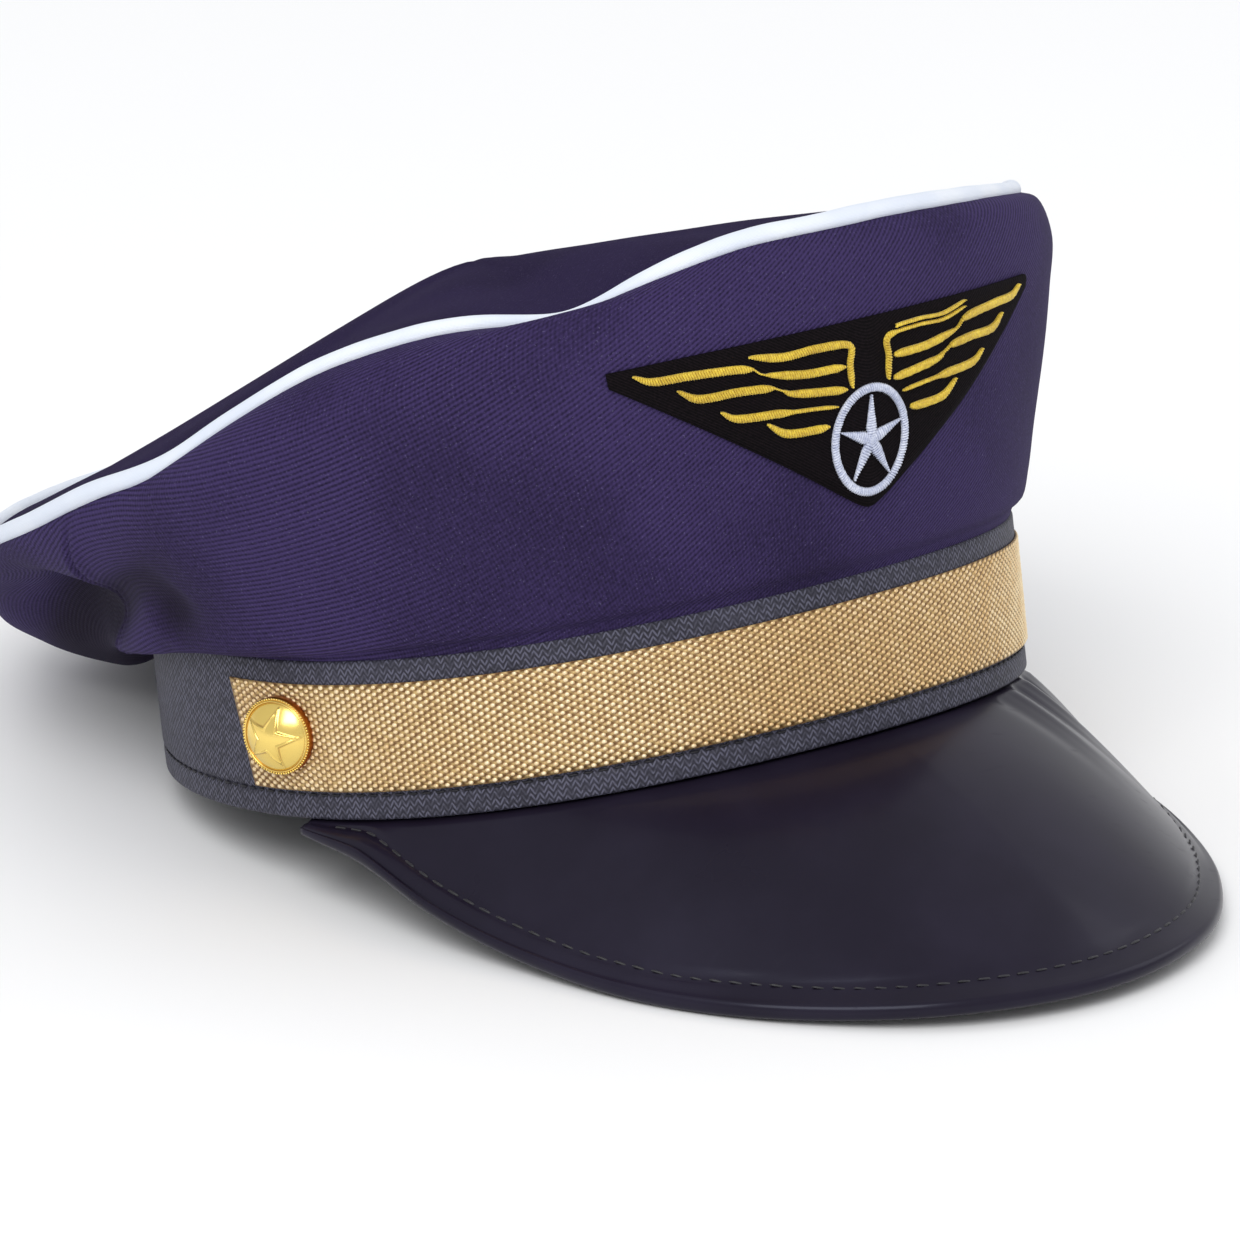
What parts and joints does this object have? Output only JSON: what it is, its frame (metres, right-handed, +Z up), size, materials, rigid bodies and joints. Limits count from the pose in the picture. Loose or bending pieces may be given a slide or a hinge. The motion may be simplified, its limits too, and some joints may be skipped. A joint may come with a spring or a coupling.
{
  "type": "pilot cap",
  "caption": "Peaked pilot cap: soft navy crown with white piping, charcoal band, woven gold ribbon, dome buttons, glossy black peak and embroidered wings badge.",
  "frame": {"origin": "middle of the bounding box's underside, with the cap at rest on the floor on its peak and on the back of its band", "axes": "+Y from the front of the cap (peak, at -Y) to its back, +Z up, +X towards the wearer's left"},
  "size_m": [0.219, 0.319, 0.1495],
  "materials": {
    "band_cloth": "embossed charcoal band cloth",
    "gold_weave": "woven gold ribbon with a metallic thread",
    "brass": "polished gilt brass",
    "black_vinyl": "glossy near-black coated sheet",
    "navy_twill": "navy-purple twill",
    "piping_white": "satin piping, bluish white",
    "patch_black": "black felt patch",
    "yellow_thread": "yellow satin stitching",
    "silver_thread": "silver-white satin stitching"
  },
  "bodies": {
    "root": {"band": "band_cloth", "ribbon": "gold_weave", "button_right": "brass", "button_left": "brass", "peak": "black_vinyl", "crown_side": "navy_twill", "crown_back": "navy_twill", "crown_top": "navy_twill", "piping": "piping_white", "badge_patch": "patch_black", "badge_ring": "silver_thread", "badge_star": "silver_thread", "wing_right_bar_1": "yellow_thread", "wing_right_bar_2": "yellow_thread", "wing_right_bar_3": "yellow_thread", "wing_right_bar_4": "yellow_thread", "wing_right_bar_5": "yellow_thread", "wing_right_bar_6": "yellow_thread", "wing_right_bar_7": "yellow_thread", "wing_left_bar_1": "yellow_thread", "wing_left_bar_2": "yellow_thread", "wing_left_bar_3": "yellow_thread", "wing_left_bar_4": "yellow_thread", "wing_left_bar_5": "yellow_thread", "wing_left_bar_6": "yellow_thread", "wing_left_bar_7": "yellow_thread"}
  },
  "joints": []
}
